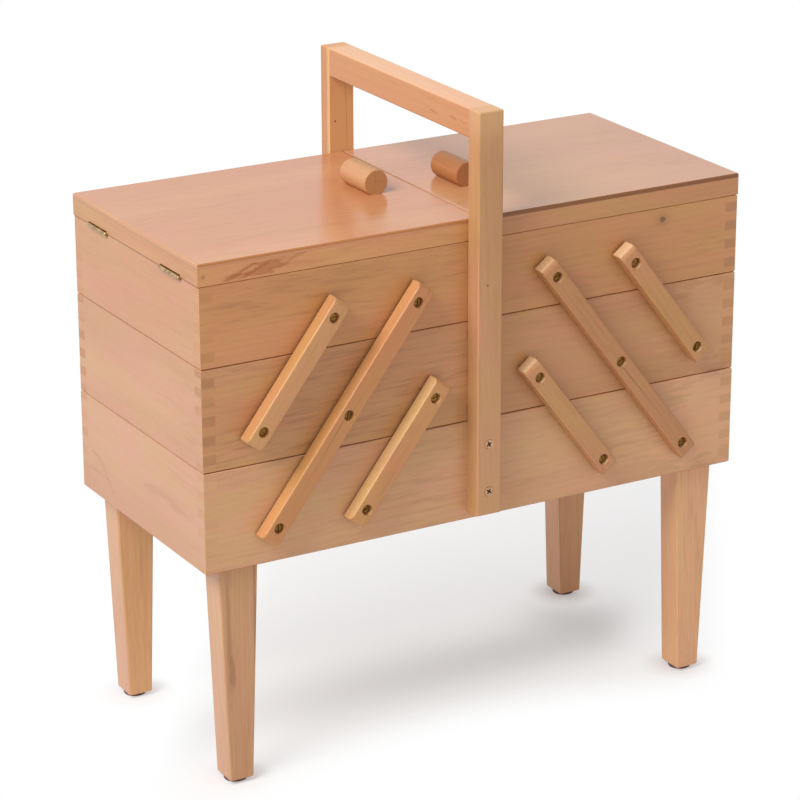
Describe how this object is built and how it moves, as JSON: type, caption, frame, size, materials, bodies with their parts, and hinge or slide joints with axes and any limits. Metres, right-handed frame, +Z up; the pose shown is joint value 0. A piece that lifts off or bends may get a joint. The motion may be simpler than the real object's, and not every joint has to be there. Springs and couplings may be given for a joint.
{
  "type": "sewing carrier",
  "caption": "Wooden cantilever sewing carrier on legs with tiered trays that swing out on side levers, hinged lids with dowel knobs and a carrying handle.",
  "frame": {"origin": "on the floor under the middle of the carrier, at the bottom centre of its bounding box", "axes": "+Z up, +X along the length towards the right half, +Y towards the back; the front face with its levers looks along -Y"},
  "size_m": [0.4468, 0.228, 0.4725],
  "materials": {
    "lid_panel_wood": "satin lacquer",
    "lid_frame_wood": "satin lacquer",
    "panel_wood": "satin lacquer",
    "end_board_wood": "satin lacquer",
    "long_board_wood": "satin lacquer",
    "lever_wood": "satin lacquer",
    "leg_wood": "satin lacquer",
    "post_wood": "satin lacquer",
    "bar_wood": "satin lacquer",
    "knob_wood": "satin lacquer",
    "brass": "aged, slightly dull",
    "glide_plastic": "matte"
  },
  "bodies": {
    "root": {"base_front_board": "long_board_wood", "base_back_board": "long_board_wood", "base_end_boards": "end_board_wood", "base_bottom_panel": "panel_wood", "base_pivot_screws": "brass", "front_post": "post_wood", "back_post": "post_wood", "crossbar": "bar_wood", "left_front_leg": "leg_wood", "left_back_leg": "leg_wood", "right_front_leg": "leg_wood", "right_back_leg": "leg_wood", "leg_glides": "glide_plastic"},
    "left_long_arms": {"left_front_long_lever": "lever_wood", "left_back_long_lever": "lever_wood"},
    "left_inner_arms": {"left_front_inner_lever": "lever_wood", "left_back_inner_lever": "lever_wood"},
    "left_outer_arms": {"left_front_outer_lever": "lever_wood", "left_back_outer_lever": "lever_wood"},
    "left_middle_tray": {"left_middle_front_board": "long_board_wood", "left_middle_back_board": "long_board_wood", "left_middle_end_boards": "end_board_wood", "left_middle_bottom_panel": "panel_wood", "left_middle_pivot_screws": "brass"},
    "left_top_tray": {"left_top_front_board": "long_board_wood", "left_top_back_board": "long_board_wood", "left_top_end_boards": "end_board_wood", "left_top_bottom_panel": "panel_wood", "left_top_pivot_screws": "brass", "left_hinge_tray_leaves": "brass"},
    "left_lid": {"left_lid_frame": "lid_frame_wood", "left_lid_panel": "lid_panel_wood", "left_knob": "knob_wood", "left_hinge_lid_leaves": "brass"},
    "right_long_arms": {"right_front_long_lever": "lever_wood", "right_back_long_lever": "lever_wood"},
    "right_inner_arms": {"right_front_inner_lever": "lever_wood", "right_back_inner_lever": "lever_wood"},
    "right_outer_arms": {"right_front_outer_lever": "lever_wood", "right_back_outer_lever": "lever_wood"},
    "right_middle_tray": {"right_middle_front_board": "long_board_wood", "right_middle_back_board": "long_board_wood", "right_middle_end_boards": "end_board_wood", "right_middle_bottom_panel": "panel_wood", "right_middle_pivot_screws": "brass"},
    "right_top_tray": {"right_top_front_board": "long_board_wood", "right_top_back_board": "long_board_wood", "right_top_end_boards": "end_board_wood", "right_top_bottom_panel": "panel_wood", "right_top_pivot_screws": "brass", "right_hinge_tray_leaves": "brass"},
    "right_lid": {"right_lid_frame": "lid_frame_wood", "right_lid_panel": "lid_panel_wood", "right_knob": "knob_wood", "right_hinge_lid_leaves": "brass"}
  },
  "joints": [
    {"name": "left_unfold", "type": "hinge", "parent": "root", "child": "left_long_arms", "pos_m": [-0.1685, 0, 0.197], "axis": [0, -1, 0], "range_deg": [0, 74.73]},
    {"name": "left_middle_tray_level", "type": "hinge", "parent": "left_long_arms", "child": "left_middle_tray", "pos_m": [-0.11275, 0, 0.27], "axis": [0, -1, 0], "range_deg": [-74.8, 0]},
    {"name": "left_top_tray_level", "type": "hinge", "parent": "left_long_arms", "child": "left_top_tray", "pos_m": [-0.057, 0, 0.343], "axis": [0, -1, 0], "range_deg": [-74.8, 0]},
    {"name": "left_inner_arms_swing", "type": "hinge", "parent": "root", "child": "left_inner_arms", "pos_m": [-0.099, 0, 0.197], "axis": [0, -1, 0], "range_deg": [0, 74.8]},
    {"name": "left_outer_arms_swing", "type": "hinge", "parent": "left_middle_tray", "child": "left_outer_arms", "pos_m": [-0.17925, 0, 0.27], "axis": [0, -1, 0], "range_deg": [0, 74.8]},
    {"name": "left_lid_hinge", "type": "hinge", "parent": "left_top_tray", "child": "left_lid", "pos_m": [-0.2216, 0, 0.3768], "axis": [0, -1, 0], "range_deg": [0, 180]},
    {"name": "right_unfold", "type": "hinge", "parent": "root", "child": "right_long_arms", "pos_m": [0.1685, 0, 0.197], "axis": [0, 1, 0], "range_deg": [0, 74.73]},
    {"name": "right_middle_tray_level", "type": "hinge", "parent": "right_long_arms", "child": "right_middle_tray", "pos_m": [0.11275, 0, 0.27], "axis": [0, 1, 0], "range_deg": [-74.8, 0]},
    {"name": "right_top_tray_level", "type": "hinge", "parent": "right_long_arms", "child": "right_top_tray", "pos_m": [0.057, 0, 0.343], "axis": [0, 1, 0], "range_deg": [-74.8, 0]},
    {"name": "right_inner_arms_swing", "type": "hinge", "parent": "root", "child": "right_inner_arms", "pos_m": [0.099, 0, 0.197], "axis": [0, 1, 0], "range_deg": [0, 74.8]},
    {"name": "right_outer_arms_swing", "type": "hinge", "parent": "right_middle_tray", "child": "right_outer_arms", "pos_m": [0.17925, 0, 0.27], "axis": [0, 1, 0], "range_deg": [0, 74.8]},
    {"name": "right_lid_hinge", "type": "hinge", "parent": "right_top_tray", "child": "right_lid", "pos_m": [0.2216, 0, 0.3768], "axis": [0, 1, 0], "range_deg": [0, 180]}
  ],
  "couplings": [
    {"joint": "left_middle_tray_level", "follows": "left_unfold", "ratio": -1},
    {"joint": "left_top_tray_level", "follows": "left_unfold", "ratio": -1},
    {"joint": "left_inner_arms_swing", "follows": "left_unfold", "ratio": 1},
    {"joint": "left_outer_arms_swing", "follows": "left_unfold", "ratio": 1},
    {"joint": "right_middle_tray_level", "follows": "right_unfold", "ratio": -1},
    {"joint": "right_top_tray_level", "follows": "right_unfold", "ratio": -1},
    {"joint": "right_inner_arms_swing", "follows": "right_unfold", "ratio": 1},
    {"joint": "right_outer_arms_swing", "follows": "right_unfold", "ratio": 1}
  ]
}
